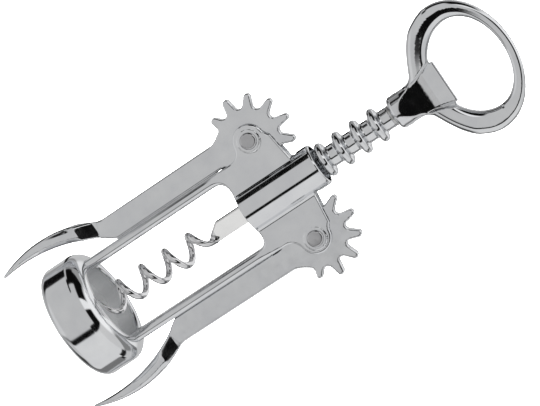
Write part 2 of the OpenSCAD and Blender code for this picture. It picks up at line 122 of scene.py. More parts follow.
def round_both(a, b, r):
    """Intersection of two distances whose shared edge is rounded to radius r."""
    u, v = np.maximum(a + r, 0), np.maximum(b + r, 0)
    return np.minimum(np.maximum(a, b), -r) + np.sqrt(u * u + v * v)


def circle(x, z, cx, cz, r):
    return np.sqrt((x - cx) ** 2 + (z - cz) ** 2) - r


def ellipse(x, z, cx, cz, a, b):
    """Distance to an ellipse, good near its edge."""
    px, pz = (x - cx) / a, (z - cz) / b
    k0 = np.sqrt(px * px + pz * pz)
    k1 = np.sqrt((px / a) ** 2 + (pz / b) ** 2) + 1e-9
    return k0 * (k0 - 1) / k1


def capsule(x, z, a, b, ra, rb):
    """A bar between two points whose radius runs from ra to rb."""
    dx, dz = b[0] - a[0], b[1] - a[1]
    t = np.clip(((x - a[0]) * dx + (z - a[1]) * dz) / (dx * dx + dz * dz), 0, 1)
    return np.sqrt((x - a[0] - t * dx) ** 2 + (z - a[1] - t * dz) ** 2) - (ra + t * (rb - ra))


def rectangle(x, z, x0, x1, z0, z1):
    qx = np.abs(x - (x0 + x1) / 2) - (x1 - x0) / 2
    qz = np.abs(z - (z0 + z1) / 2) - (z1 - z0) / 2
    outside = np.sqrt(np.maximum(qx, 0) ** 2 + np.maximum(qz, 0) ** 2)
    return outside + np.minimum(np.maximum(qx, qz), 0)


def half_plane(x, z, px, pz, degrees):
    """Negative on the left of a ray through (px, pz) at that angle."""
    a = math.radians(degrees)
    return (x - px) * math.sin(a) - (z - pz) * math.cos(a)


def circle_through(a, b, c):
    """Centre and radius of the circle through three points."""
    (ax, az), (bx, bz), (cx, cz) = a, b, c
    d = 2 * (ax * (bz - cz) + bx * (cz - az) + cx * (az - bz))
    a2, b2, c2 = ax * ax + az * az, bx * bx + bz * bz, cx * cx + cz * cz
    x = (a2 * (bz - cz) + b2 * (cz - az) + c2 * (az - bz)) / d
    z = (a2 * (cx - bx) + b2 * (ax - cx) + c2 * (bx - ax)) / d
    return x, z, math.hypot(ax - x, az - z)


def smoothstep(t, t0, t1):
    """0 up to t0 and 1 from t1, with a smooth rise between them."""
    s = np.clip((t - t0) / (t1 - t0), 0, 1)
    return s * s * (3 - 2 * s)


# ---------------------------------------------------------------- meshes

DRAW_ROUNDS, LEAST_SLOPE, TINY = 4, 0.05, 1e-9


def gradient(f, p, e=0.01):
    g = np.empty_like(p)
    for axis in range(3):
        step = np.zeros(3)
        step[axis] = e
        g[:, axis] = (f(*(p + step).T) - f(*(p - step).T)) / (2 * e)
    return g


def crossings(value, axis):
    """Where the surface crosses grid lines along an axis, and the four cells round each place."""
    inside = value < 0
    before, after = [slice(None)] * 3, [slice(None)] * 3
    before[axis], after[axis] = slice(None, -1), slice(1, None)
    start = np.argwhere(inside[tuple(before)] != inside[tuple(after)])
    u, v = [k for k in range(3) if k != axis]
    start = start[np.all([(start[:, k] > 0) & (start[:, k] < value.shape[k] - 1)
                          for k in (u, v)], axis=0)]
    end = start.copy()
    end[:, axis] += 1
    v0, v1 = value[tuple(start.T)], value[tuple(end.T)]
    point = start.astype(float)
    point[:, axis] += v0 / (v0 - v1)
    cells = []
    for du, dv in ((0, 0), (1, 0), (1, 1), (0, 1)):
        cell = start.copy()
        cell[:, u] -= du
        cell[:, v] -= dv
        cells.append(cell)
    return point, cells


def surface_net(f, low, high, step):
    """A vertex for each grid cell that the surface enters, and a quad for each crossing."""
    axes = [np.arange(low[i] - 2 * step, high[i] + 2.5 * step, step) for i in range(3)]
    grid = np.meshgrid(*axes, indexing="ij")
    value = f(*[g.ravel() for g in grid]).reshape(grid[0].shape)
    shape = tuple(n - 1 for n in value.shape)
    total, count = np.zeros(shape + (3,)), np.zeros(shape)
    found = [crossings(value, axis) for axis in range(3)]
    for point, cells in found:
        for cell in cells:
            np.add.at(total, tuple(cell.T), point)
            np.add.at(count, tuple(cell.T), 1)
    used = count > 0
    index = np.full(shape, -1, np.int64)
    index[used] = np.arange(used.sum())
    verts = total[used] / count[used][:, None] * step + np.array([a[0] for a in axes])
    quads = np.concatenate([np.stack([index[tuple(c.T)] for c in cells], axis=1)
                            for _, cells in found])
    return verts, quads


def drawn_onto(f, verts, step):
    """The vertices, moved onto the surface along its gradient."""
    for _ in range(DRAW_ROUNDS):
        g = gradient(f, verts)
        size = np.maximum((g * g).sum(1), LEAST_SLOPE)
        move = -f(*verts.T)[:, None] * g / size[:, None]
        length = np.linalg.norm(move, axis=1, keepdims=True)
        verts = verts + move * np.minimum(1, 0.5 * step / np.maximum(length, TINY))
    return verts


def surface(f, low, high, step):
    """Vertices, quads and normals of the surface where f is zero."""
    verts, quads = surface_net(f, low, high, step)
    verts = drawn_onto(f, verts, step)
    g = gradient(f, verts)
    normals = g / np.maximum(np.linalg.norm(g, axis=1, keepdims=True), TINY)
    corner = verts[quads]
    facing = np.cross(corner[:, 2] - corner[:, 0], corner[:, 3] - corner[:, 1])
    wrong = (facing * normals[quads].sum(1)).sum(1) < 0
    quads[wrong] = quads[wrong][:, ::-1]
    return verts, quads, normals


def new_mesh(name, verts, quads, normals):
    mesh = bpy.data.meshes.new(name)
    mesh.from_pydata((verts * MM).tolist(), [], quads.tolist())
    mesh.update()
    mesh.polygons.foreach_set("use_smooth", [True] * len(mesh.polygons))
    mesh.normals_split_custom_set_from_vertices(normals.tolist())
    obj = bpy.data.objects.new(name, mesh)
    bpy.context.scene.collection.objects.link(obj)
    return obj


def carve(name, f, low, high, step):
    """A piece from a distance function."""
    return new_mesh(name, *surface(f, low, high, step))


def carve_pair(name, twin, mirror, f, low, high, step):
    """A piece from a distance function, and its mirrored twin."""
    verts, quads, normals = surface(f, low, high, step)
    return (new_mesh(name, verts, quads, normals),
            new_mesh(twin, verts * mirror, quads[:, ::-1], normals * mirror))


# ---------------------------------------------------------------- handle

RING_Z = COLLAR_FOOT + 27          # the hoop's widest level
HOOP_B = RING_TOP - RING_Z         # from there to its top
HOOP_T = 6.4
HOOP_ARM = (2.5, COLLAR_FOOT + 11.5), (15.6, RING_Z - 6.6), 3.0, 2.4
HOOP_ARM_BLEND = 3.5
HOOP_CREST = 2.9, 0.40             # the crest's distance from the outside, and as a share
HOOP_EDGE = 2.4, 0.38              # the edges' rounding, and as a share of the width
HOOP_FACET, HOOP_LEAST_W = 0.115, 0.5
HOLE_Z, HOLE_A, HOLE_UP, HOLE_DOWN = RING_Z + 2.5, 15.7, 10.6, 13.0
COLLAR_R, COLLAR_H, COLLAR_EDGE = 5.6, 7.0, 1.5
NECK_HALF_H, NECK_HALF_T = 6.5, 3.1
NECK_THINS = COLLAR_FOOT + 5, COLLAR_FOOT + 13.5
NECK_BLEND = 2.5
TONGUE_TOP, TONGUE_FOOT, TONGUE_W = COLLAR_FOOT + 19.3, COLLAR_FOOT + 6, 15.0
TONGUE_LEAN, TONGUE_Y, TONGUE_HALF_T = 74, 0.75, 1.25
TONGUE_CORNER, TONGUE_EDGE, TONGUE_BLEND = 0.4, 0.6, 1.0
TROUGH_START, TROUGH_FULL = TONGUE_TOP - 1.8, TONGUE_TOP - 8.8
TROUGH_SLOPE, TROUGH_BASE = 0.5, 0.1
HOLLOW_LINE = [(0.4, COLLAR_FOOT + 0.4), (0.5, COLLAR_FOOT + 3.5),
               (0.2, COLLAR_FOOT + 9.5), (0, TONGUE_TOP + 2)]
HOLLOW_R = [1.5, 3.2, 4.9, 9.4]
HOLLOW_BLEND = 1.5, 2.5
HOLLOW_EDGE, HOLLOW_LIP = 0.9, 0.45
SHANK_BORE_R, SHANK_BORE_PAST, SHANK_BORE_EDGE = 2.3, 0.6, 0.25
HANDLE_PIN_R, HANDLE_PIN_UP = 0.93, 3.2


def trough_floor(z):
    """Depth of the neck's hollow front, which comes forwards towards the collar."""
    t = np.clip((TROUGH_START - z) / (TROUGH_START - TROUGH_FULL), 0, 1)
    bend = TROUGH_SLOPE * (TROUGH_START - TROUGH_FULL) * t * t / 2
    return TROUGH_BASE - bend - TROUGH_SLOPE * np.maximum(TROUGH_FULL - z, 0)


def hole_outline(x, z):
    """The hoop's hole: half an ellipse above its widest level, and a deeper half below."""
    return np.where(z > HOLE_Z, ellipse(x, z, 0, HOLE_Z, HOLE_A, HOLE_UP),
                    ellipse(x, z, 0, HOLE_Z, HOLE_A, HOLE_DOWN))


def hoop_shape(x, y, z):
    """The hoop and its two arms, with the crest nearer the outside than the hole."""
    arm = capsule(np.abs(x), z, *HOOP_ARM)
    outer = smooth_union(ellipse(x, z, 0, RING_Z, RING_HALF, HOOP_B), arm, HOOP_ARM_BLEND)
    hole = hole_outline(x, z)
    width = np.maximum(hole - outer, HOOP_LEAST_W)
    crest = np.minimum(HOOP_CREST[1] * width, HOOP_CREST[0])
    facet = HOOP_FACET * np.maximum(-outer - crest, 0)
    edge = np.minimum(HOOP_EDGE[0], HOOP_EDGE[1] * width)
    return round_both(np.maximum(outer, -hole), np.abs(y) - HOOP_T / 2 + facet, edge)


def collar_shape(x, y, z):
    """The collar, which thins towards the hoop."""
    depth = COLLAR_R - (COLLAR_R - NECK_HALF_T) * smoothstep(z, *NECK_THINS)
    rho = np.sqrt(x * x + (y * COLLAR_R / depth) ** 2)
    middle = COLLAR_FOOT + NECK_HALF_H
    return round_both(rho - COLLAR_R, np.abs(z - middle) - NECK_HALF_H, COLLAR_EDGE)


def tongue_shape(x, y, z):
    """The cap lifter's plate, which narrows towards the collar."""
    side = half_plane(np.abs(x), z, TONGUE_W / 2, TONGUE_TOP, TONGUE_LEAN)
    plate = round_both(np.maximum(side, TONGUE_FOOT - z), z - TONGUE_TOP, TONGUE_CORNER)
    return round_both(plate, np.abs(y - TONGUE_Y) - TONGUE_HALF_T, TONGUE_EDGE)


def hollow_shape(x, y, z):
    """The hollow in the neck's front, which widens from the collar to the tongue."""
    foot, lower, upper = [capsule(x, z, *HOLLOW_LINE[k:k + 2], *HOLLOW_R[k:k + 2])
                          for k in range(3)]
    outline = smooth_union(smooth_union(foot, lower, HOLLOW_BLEND[0]), upper, HOLLOW_BLEND[1])
    return round_both(outline, y - trough_floor(z), HOLLOW_EDGE)


def handle_shape(x, y, z):
    """Hoop, neck and cap lifter in one casting, bored for the shank and its cross pin."""
    body = smooth_union(hoop_shape(x, y, z), collar_shape(x, y, z), NECK_BLEND)
    body = smooth_cut(body, hollow_shape(x, y, z), HOLLOW_LIP)
    body = smooth_union(body, tongue_shape(x, y, z), TONGUE_BLEND)
    rho = np.sqrt(x * x + y * y)
    bore = np.maximum(rho - SHANK_BORE_R, z - COLLAR_FOOT - COLLAR_H - SHANK_BORE_PAST)
    pin = np.sqrt(y * y + (z - COLLAR_FOOT - HANDLE_PIN_UP) ** 2) - HANDLE_PIN_R
    return smooth_cut(np.maximum(body, -pin), bore, SHANK_BORE_EDGE)


def make_handle():
    low = (-RING_HALF, -COLLAR_R, COLLAR_FOOT)
    high = (RING_HALF, COLLAR_R, RING_TOP)
    return carve("handle_casting", handle_shape, low, high, step=0.36)


# ---------------------------------------------------------------- levers

LEVER_T, LEVER_EDGE, LEVER_EDGE_SHARE = 4.0, 0.65, 0.75
LEVER_BORE_R = 2.86
LEVER_TEETH, TOOTH_STEP, TOOTH_LAG = 8, 30, 1.5
ROOT_R, TIP_R, TOOTH_FOOT = 10.205, 14.755, 8.5
TOOTH_ROOT_R, TOOTH_TIP_R, TOOTH_FILLET, LAST_SHORT = 2.15, 1.2, 0.7, 1.2
ARM_IN, ARM_OUT, ARM_FOOT, ARM_FILLET = 15.85, 23.85, 20.6, 3.0
ARM_PAST_FOOT, ARM_BELOW_PIVOT = 3, 4
HORN_TOP, HORN_IN = 18.0, BELL_R + 4.3
# Each edge of the horn is an arc through three points.
HORN_OUTER = circle_through((ARM_OUT, HORN_TOP), (HORN_IN + 5, 0),
                            (HORN_IN + 1.9, HORN_TIP_Z))
HORN_INNER = circle_through((ARM_IN, ARM_FOOT), (HORN_IN, 2), (HORN_IN + 1, HORN_TIP_Z))
HORN_INTO_ARM, HORN_TIP_ROUND, HORN_BLEND, HORN_LEAST_W = 0.5, 0.35, 0.8, 0.2
ARM_END_Z, ARM_END_SLANT, ARM_END_MIDDLE, ARM_END_STEP = HORN_TOP - 1.8, 0.35, 4, 0.6
SWELL_Z = HORN_TOP - 8.0           # where the horn is thickest
NECK_TAPER, NECK_LEAST = 0.45, 0.55
HORN_TIP_HALF_T, HORN_EDGE_HALF_T = 0.85, 0.45
FACE_FLAT = 0.3                    # share of the horn's width that isn't bevelled
BEVEL, BEVEL_LOSS, BEVEL_POWER = 0.55, 0.45, 1.5
BEVEL_FADES = SWELL_Z - 3, SWELL_Z + 1


def on_gear(r, a):
    return PIVOT_X + r * math.cos(a), PIVOT_Z + r * math.sin(a)


def gear_outline(x, z):
    """The toothed sector of the right lever. Its last tooth is lower."""
    gear = circle(x, z, PIVOT_X, PIVOT_Z, ROOT_R)
    for k in range(LEVER_TEETH):
        a = math.radians(180 + TOOTH_LAG - TOOTH_STEP * k)
        tip = TIP_R - TOOTH_TIP_R - (LAST_SHORT if k == LEVER_TEETH - 1 else 0)
        tooth = capsule(x, z, on_gear(TOOTH_FOOT, a), on_gear(tip, a),
                        TOOTH_ROOT_R, TOOTH_TIP_R)
        gear = fillet_union(gear, tooth, TOOTH_FILLET)
    return gear


def lever_outline(x, z):
    """Outline of the right lever, and how far across the horn each point is."""
    arm = rectangle(x, z, ARM_IN, ARM_OUT, ARM_FOOT - ARM_PAST_FOOT, PIVOT_Z - ARM_BELOW_PIVOT)
    upper = fillet_union(gear_outline(x, z), arm, ARM_FILLET)
    outer = circle(x, z, *HORN_OUTER)
    inner = -circle(x, z, *HORN_INNER)
    horn = np.maximum(np.maximum(outer, inner), z - ARM_FOOT + HORN_INTO_ARM)
    horn = round_both(horn, HORN_TIP_Z - z, HORN_TIP_ROUND)
    upper = np.maximum(upper, inner)
    across = np.clip((outer - inner) / np.minimum(outer + inner, -HORN_LEAST_W), -1, 1)
    return smooth_union(upper, horn, HORN_BLEND), across


def lever_depth(x, z, across):
    """Half the thickness: flat down to the arm's end, then a thin neck and a swelling horn."""
    end = ARM_END_Z + ARM_END_SLANT * (x - ARM_IN - ARM_END_MIDDLE)
    in_arm = smoothstep(z, end - ARM_END_STEP, end)
    crest = np.maximum(HORN_HALF_T - NECK_TAPER * np.maximum(z - SWELL_Z, 0), NECK_LEAST)
    thin = np.clip((SWELL_Z - z) / (SWELL_Z - HORN_TIP_Z), 0, 1)
    crest = crest * (1 - thin) + HORN_TIP_HALF_T * thin
    slope = np.maximum(np.abs(across) - FACE_FLAT, 0) / (1 - FACE_FLAT)
    bevel = BEVEL - BEVEL_LOSS * smoothstep(z, *BEVEL_FADES)
    horn = np.maximum(crest * (1 - bevel * slope ** BEVEL_POWER), HORN_EDGE_HALF_T)
    return horn * (1 - in_arm) + LEVER_T / 2 * in_arm


def lever_shape(x, y, z):
    flat, across = lever_outline(x, z)
    depth = lever_depth(x, z, across)
    edge = np.minimum(LEVER_EDGE, LEVER_EDGE_SHARE * depth)
    body = round_both(flat, np.abs(y) - depth, edge)
    return np.maximum(body, -circle(x, z, PIVOT_X, PIVOT_Z, LEVER_BORE_R))


def make_levers():
    low = (PIVOT_X - TIP_R, -HORN_HALF_T, HORN_TIP_Z)
    high = (PIVOT_X + TIP_R, HORN_HALF_T, PIVOT_Z + TIP_R)
    return carve_pair("lever_right", "lever_left", MIRROR_X, lever_shape, low, high, step=0.36)


# ---------------------------------------------------------------- shells

EAR_IN, EAR_OUT, EAR_R, EAR_BLEND = 2.5, 3.4, 5.3, 4.0
EAR_LEAN = math.radians(7)
TUBE_R, SHEET_T, TUBE_FOOT = 7.25, 0.9, TUBE_TOP - 28.5
TUBE_TOP_EDGE, TUBE_FOOT_EDGE, TUBE_FILLET, TUBE_BORE_PAST = 0.85, 0.35, 0.7, 3
LEG_IN, LEG_OUT, LEG_FOOT = 12.3, 15.7, BELL_TOP - 4.7
WINDOW_R, WINDOW_FOOT = 3.5, -60
SHEET_EDGE, LEG_EDGE = 0.8, 1.7
LEG_EDGE_LEVELS, LEG_EDGE_WIDTHS = (54, 65), (9, 12.5)
BOSS_R, BOSS_H, BOSS_EDGE, BOSS_BLEND = 3.7, 0.25, 0.2, 0.25
SLOT_R = TIP_R + 0.5
SEAM_GAP = 0.01                    # half the gap between the two shells
RIVET_R = 2.0


def shell_outline(ax, z):
    """Front view of one shell's sheet: the ears, and the legs beside the window."""
    lean_sin, lean_cos = math.sin(EAR_LEAN), math.cos(EAR_LEAN)
    tx, tz = PIVOT_X + EAR_R * lean_sin, PIVOT_Z + EAR_R * lean_cos
    top = (z - tz) * lean_cos + (ax - tx) * lean_sin
    post = np.maximum(ax - LEG_OUT, top)
    ear = np.maximum(np.maximum(top, ax - PIVOT_X), PIVOT_Z - EAR_R - z)
    ear = np.minimum(ear, circle(ax, z, PIVOT_X, PIVOT_Z, EAR_R))
    window = rectangle(ax, z, WINDOW_R - LEG_IN, LEG_IN - WINDOW_R, WINDOW_FOOT,
                       TUBE_FOOT - WINDOW_R) - WINDOW_R
    return np.maximum(fillet_union(post, ear, EAR_BLEND), -window)


def shell_skin(x, y, z, outline):
    """The outside of both shells together: flat ears and legs, bosses and the tube."""
    ax, ay = np.abs(x), np.abs(y)
    legs = (1 - smoothstep(z, *LEG_EDGE_LEVELS)) * smoothstep(ax, *LEG_EDGE_WIDTHS)
    flat = round_both(outline, ay - EAR_OUT, SHEET_EDGE + (LEG_EDGE - SHEET_EDGE) * legs)
    boss = round_both(circle(ax, z, PIVOT_X, PIVOT_Z, BOSS_R), ay - EAR_OUT - BOSS_H, BOSS_EDGE)
    flat = smooth_union(flat, boss, BOSS_BLEND)
    tube = round_both(np.sqrt(x * x + y * y) - TUBE_R, z - TUBE_TOP, TUBE_TOP_EDGE)
    tube = round_both(tube, TUBE_FOOT - z, TUBE_FOOT_EDGE)
    return fillet_union(tube, flat, TUBE_FILLET)


def shell_shape(x, y, z):
    """The front shell: half the tube, two ears bent off it, and two round-backed legs."""
    ax, ay = np.abs(x), np.abs(y)
    rho = np.sqrt(x * x + y * y)
    outline = shell_outline(ax, z)
    body = shell_skin(x, y, z, outline)
    hollow = np.maximum(ay - EAR_IN, np.minimum(TUBE_FOOT - z, outline + SHEET_T))
    hollow = np.maximum(hollow, TUBE_R - rho)
    slot = np.maximum(circle(ax, z, PIVOT_X, PIVOT_Z, SLOT_R), ay - EAR_IN)
    bore = np.maximum(rho - TUBE_R + SHEET_T, TUBE_FOOT - TUBE_BORE_PAST - z)
    rivet = np.sqrt((ax - PIVOT_X) ** 2 + (z - PIVOT_Z) ** 2)
    for cut in (-hollow, -slot, -bore, RIVET_R - rivet, y + SEAM_GAP, LEG_FOOT - z):
        body = np.maximum(body, cut)
    return body


def make_shells():
    low = (-PIVOT_X - EAR_R, -TUBE_R, LEG_FOOT)
    high = (PIVOT_X + EAR_R, 0.0, TUBE_TOP)
    return carve_pair("shell_front", "shell_back", MIRROR_Y, shell_shape, low, high, step=0.30)


# ---------------------------------------------------------------- bell

MOUTH_R, SEAT_R = 13.5, 16.0
SHOULDER_ROUND, FOOT_ROUND, MOUTH_ROUND = 5.0, 3.3, 0.8
SEAT_CORNER, SEAT_EDGE, POCKET_EDGE = 0.4, 0.3, 0.15


def bell_shape(x, y, z):
    """A hollow ring with a seat for the bottle's lip and a pocket for each leg."""
    rho = np.sqrt(x * x + y * y)
    wall = round_both(rho - BELL_R, z - BELL_TOP, SHOULDER_ROUND)
    wall = round_both(wall, BELL_FOOT - z, FOOT_ROUND)
    wall = round_both(wall, MOUTH_R - rho, MOUTH_ROUND)
    body = smooth_cut(wall, round_both(rho - SEAT_R, z, SEAT_CORNER), SEAT_EDGE)
    leg = np.sqrt((np.abs(x) - (LEG_IN + LEG_OUT) / 2) ** 2
                  + np.maximum(np.abs(y) - EAR_OUT + LEG_EDGE, 0) ** 2) - LEG_EDGE
    return smooth_cut(body, np.maximum(leg, LEG_FOOT - z), POCKET_EDGE)


def make_bell():
    low = (-BELL_R, -BELL_R, BELL_FOOT)
    high = (BELL_R, BELL_R, BELL_TOP)
    return carve("bell_cup", bell_shape, low, high, step=0.38)


# ---------------------------------------------------------------- worm

COIL_R, COIL_START_R, COIL_PITCH, WIRE_R = 4.0, 2.0, 9.3, 1.2
COIL_END, COIL_TURNS = 1575.0, 5   # where it ends in degrees, in its fifth turn
COIL_START_STEEPER, COIL_DROP = 1.35, 10
POINT_SHARE, POINT_TURN = 0.2, 130
BLADE_SHOULDER, BLADE_TURN = TUBE_FOOT - 10.5, math.radians(14)
BLADE_FOOT, BLADE_HALF_W, BLADE_HALF_T = BLADE_SHOULDER - 4.2, 3.1, 0.8
BLADE_FOOT_X, BLADE_OUTER_CUT, BLADE_INNER_CUT = 2.5, 308.2, 63.4
BLADE_CORNER, BLADE_EDGE, BLADE_BLEND = 0.4, 0.35, 1.0
FAR = 1e3


def coil_level(a):
    """Radius, height and steepness of the coil's centre line at angle a in degrees."""
    early = a < 180
    r = np.where(early, COIL_START_R + (COIL_R - COIL_START_R)
                 * (1 - np.cos(np.radians(a))) / 2, COIL_R)
    pitch = COIL_PITCH * np.where(early, COIL_START_STEEPER, 1.0)
    level = BLADE_SHOULDER - COIL_DROP + (180 - a) * pitch / 360
    return r, level, pitch / (2 * math.pi * r)


def coil_shape(x, y, z):
    """The wire coil, which thins to a point."""
    turn = np.degrees(np.arctan2(-y, x)) % 360
    rho = np.sqrt(x * x + y * y)
    wire = np.full_like(x, FAR)
    for k in range(-1, COIL_TURNS):
        a = turn + 360 * k
        held = np.clip(a, 0, COIL_END)
        r, level, steep = coil_level(held)
        end_x, end_y = r * np.cos(np.radians(held)), -r * np.sin(np.radians(held))
        radial = np.where(a == held, np.abs(rho - r), np.hypot(x - end_x, y - end_y))
        rise = (z - level) * np.where(a == held, 1 / np.sqrt(1 + steep ** 2), 1)
        taper = POINT_SHARE + (1 - POINT_SHARE) * (COIL_END - held) / POINT_TURN
        wire = np.minimum(wire, np.hypot(radial, rise) - WIRE_R * np.minimum(1, taper))
    return wire


def blade_shape(x, y, z):
    """The flat blade, cut to a slant at both sides of its foot."""
    c, s = math.cos(BLADE_TURN), math.sin(BLADE_TURN)
    u, v = x * c + y * s, y * c - x * s
    outline = np.abs(u) - BLADE_HALF_W
    for edge in (z - WORM_HIGH[2], BLADE_FOOT - z,
                 half_plane(u, z, -BLADE_HALF_W, BLADE_SHOULDER, BLADE_OUTER_CUT),
                 half_plane(u, z, BLADE_FOOT_X, BLADE_FOOT, BLADE_INNER_CUT)):
        outline = round_both(outline, edge, BLADE_CORNER)
    return round_both(outline, np.abs(v) - BLADE_HALF_T, BLADE_EDGE)


def worm_shape(x, y, z):
    """The coil and the blade that it grows out of, with the hole for the cross pin."""
    pin = np.sqrt(x * x + (z - WORM_PIN_Z) ** 2) - WORM_PIN_R
    body = smooth_union(blade_shape(x, y, z), coil_shape(x, y, z), BLADE_BLEND)
    return np.maximum(body, -pin)


def make_worm():
    return carve("worm_wire", worm_shape, WORM_LOW, WORM_HIGH, step=0.24)


# ---------------------------------------------------------------- rack

RIDGES, FIRST_RIDGE = 7, SLEEVE_LOW[2] + 4.0
RIDGE_R, RIDGE_CREST_R, RIDGE_FOOT_R, RIDGE_FOOT = SLEEVE_HIGH[0], 1.35, 1.75, 3.0
CORE_R, SLEEVE_BORE_R, RIDGE_FILLET, SLEEVE_EDGE = 3.6, 2.27, 0.7, 0.3


def rack_shape(x, y, z):
    """A sleeve with round ridges, filleted at their feet."""
    rho = np.sqrt(x * x + y * y)
    k = np.clip(np.round((z - FIRST_RIDGE) / RIDGE_PITCH), 0, RIDGES - 1)
    ridge = capsule(rho, z - FIRST_RIDGE - k * RIDGE_PITCH, (RIDGE_FOOT, 0),
                    (RIDGE_R - RIDGE_CREST_R, 0), RIDGE_FOOT_R, RIDGE_CREST_R)
    body = fillet_union(rho - CORE_R, ridge, RIDGE_FILLET)
    body = round_both(body, SLEEVE_LOW[2] - z, SLEEVE_EDGE)
    body = round_both(body, z - SLEEVE_HIGH[2], SLEEVE_EDGE)
    return np.maximum(body, SLEEVE_BORE_R - rho)


def make_rack():
    return carve("rack_turned", rack_shape, SLEEVE_LOW, SLEEVE_HIGH, step=0.27)


# ---------------------------------------------------------------- rivets

RIVET_HEAD_R, HEAD_DOME, HEAD_CHAMFER, HEAD_EDGE = 2.8, 0.02, 0.55, 0.2
RIVET_INTO_HEAD = 0.1


def rivet_shape(x, y, z):
    """A barrel with a flat bevelled head at each end."""
    rho = np.sqrt((x - PIVOT_X) ** 2 + (z - PIVOT_Z) ** 2)
    ay, end, face = np.abs(y), RIVET_HIGH[1], EAR_OUT + BOSS_H
    head = np.maximum(rho - RIVET_HEAD_R, ay - end + HEAD_DOME * rho)
    chamfer = (rho + ay - RIVET_HEAD_R - end + HEAD_CHAMFER) / math.sqrt(2)
    head = np.maximum(round_both(head, chamfer, HEAD_EDGE), face - ay)
    return np.minimum(head, np.maximum(rho - RIVET_R, ay - face - RIVET_INTO_HEAD))


def make_rivets():
    return carve_pair("rivet_right", "rivet_left", MIRROR_X, rivet_shape, RIVET_LOW, RIVET_HIGH,
                      step=0.16)


# ---------------------------------------------------------------- materials

# What each metal has: its darkest and lightest tone, the range of its roughness, and its
# waves and grain as (bumps to the mm, depth in mm). Some have no waves.
CHROME = (0.76, 0.77, 0.79), (0.83, 0.84, 0.85)
METALS = {
    "handle_chrome": (*CHROME, (0.05, 0.09), (0.22, 0.02), (2.5, 0.0006)),
    "shell_chrome": (*CHROME, (0.05, 0.10), (0.25, 0.008), (2.5, 0.0006)),
    "bell_chrome": (*CHROME, (0.06, 0.10), (0.12, 0.02), (2.5, 0.0005)),
    "lever_chrome": (*CHROME, (0.08, 0.14), (0.2, 0.02), (2.0, 0.0016)),
    "rack_chrome": (*CHROME, (0.05, 0.10), (0.3, 0.01), (3.0, 0.0006)),
    "bell_inside": ((0.74, 0.75, 0.76), (0.82, 0.83, 0.84), (0.44, 0.52), None, (3.0, 0.002)),
    "worm_steel": ((0.72, 0.72, 0.73), (0.82, 0.82, 0.83), (0.07, 0.14), (0.5, 0.02),
                   (5.0, 0.001)),
    "blade_satin": ((0.93, 0.93, 0.92), (0.97, 0.97, 0.96), (0.10, 0.14), None, (4.0, 0.0004)),
    "neck_cast": ((0.70, 0.70, 0.71), (0.80, 0.81, 0.82), (0.07, 0.11), (0.5, 0.05),
                  (2.0, 0.003)),
    "rivet_steel": ((0.50, 0.50, 0.51), (0.60, 0.60, 0.61), (0.10, 0.18), None, (4.0, 0.0015)),
    "pin_steel": ((0.60, 0.60, 0.61), (0.70, 0.70, 0.71), (0.2, 0.3), None, (5.0, 0.002)),
    "washer_steel": ((0.6, 0.6, 0.6), (0.7, 0.7, 0.7), (0.25, 0.35), None, (6.0, 0.003)),
    "bush_brass": ((0.70, 0.52, 0.25), (0.80, 0.62, 0.33), (0.2, 0.35), None, (5.0, 0.003)),
}
TONE_SCALE, TONE_DETAIL, TONE_STOPS = 0.15, 4.0, (0.3, 0.7)
HAZE_SCALE, HAZE_DETAIL = 0.35, 3.0
MARK_SCALE, MARK_DETAIL, MARK_STRETCH = 1.6, 5.0, (1, 1, 0.25)
MARK_RANGE = 0.55, 0.75            # the part of the noise that makes handling marks
MARK_SHARE = 0.25                  # what they add, as a share of the highest roughness
WAVE_DETAIL, GRAIN_DETAIL = 1.0, 3.0
FLOOR_TONES, FLOOR_SCALE, FLOOR_ROUGHNESS = (0.90, 0.92), 0.02, 0.9


def node(tree, kind, **settings):
    """A shader node. Settings name its attributes, and its inputs with in_ before them."""
    made = tree.nodes.new("ShaderNode" + kind)
    for key, value in settings.items():
        if key.startswith("in_"):
            made.inputs[key[3:].replace("_", " ")].default_value = value
        else:
            setattr(made, key, value)
    return made


def noise(tree, per_mm, detail=2.0, stretch=(1, 1, 1)):
    """Noise in the piece's own millimetres, with per_mm bumps to the millimetre."""
    place = node(tree, "TexCoord")
    mapping = node(tree, "Mapping", in_Scale=[s / MM for s in stretch])
    made = node(tree, "TexNoise", in_Scale=per_mm, in_Detail=detail)
    tree.links.new(place.outputs["Object"], mapping.inputs["Vector"])
    tree.links.new(mapping.outputs["Vector"], made.inputs["Vector"])
    return made.outputs["Fac"]


def spread(tree, value, low, high, start=0.35, end=0.65):
    """Maps noise from start..end to low..high."""
    made = node(tree, "MapRange", in_From_Min=start, in_From_Max=end, in_To_Min=low,
                in_To_Max=high)
    tree.links.new(value, made.inputs["Value"])
    return made.outputs["Result"]


def bump(tree, height, depth_mm, under=None):
    """A bump of that depth, laid over the one under it."""
    made = node(tree, "Bump", in_Strength=1.0, in_Distance=depth_mm * MM)
    tree.links.new(height, made.inputs["Height"])
    if under is not None:
        tree.links.new(under, made.inputs["Normal"])
    return made.outputs["Normal"]


def tones(tree, value, dark, light, stops=(0.0, 1.0)):
    """A colour that runs from dark to light with the value."""
    made = node(tree, "ValToRGB")
    for element, place, colour in zip(made.color_ramp.elements, stops, (dark, light)):
        element.position = place
        element.color = (*colour, 1)
    tree.links.new(value, made.inputs["Fac"])
    return made.outputs["Color"]


def roughness(tree, rough):
    """Haze between the two roughnesses, with handling marks on top."""
    haze = spread(tree, noise(tree, HAZE_SCALE, HAZE_DETAIL), *rough)
    marks = spread(tree, noise(tree, MARK_SCALE, MARK_DETAIL, MARK_STRETCH), 0.0,
                   MARK_SHARE * rough[1], *MARK_RANGE)
    total = node(tree, "Math", operation="ADD", use_clamp=True)
    tree.links.new(haze, total.inputs[0])
    tree.links.new(marks, total.inputs[1])
    return total.outputs[0]


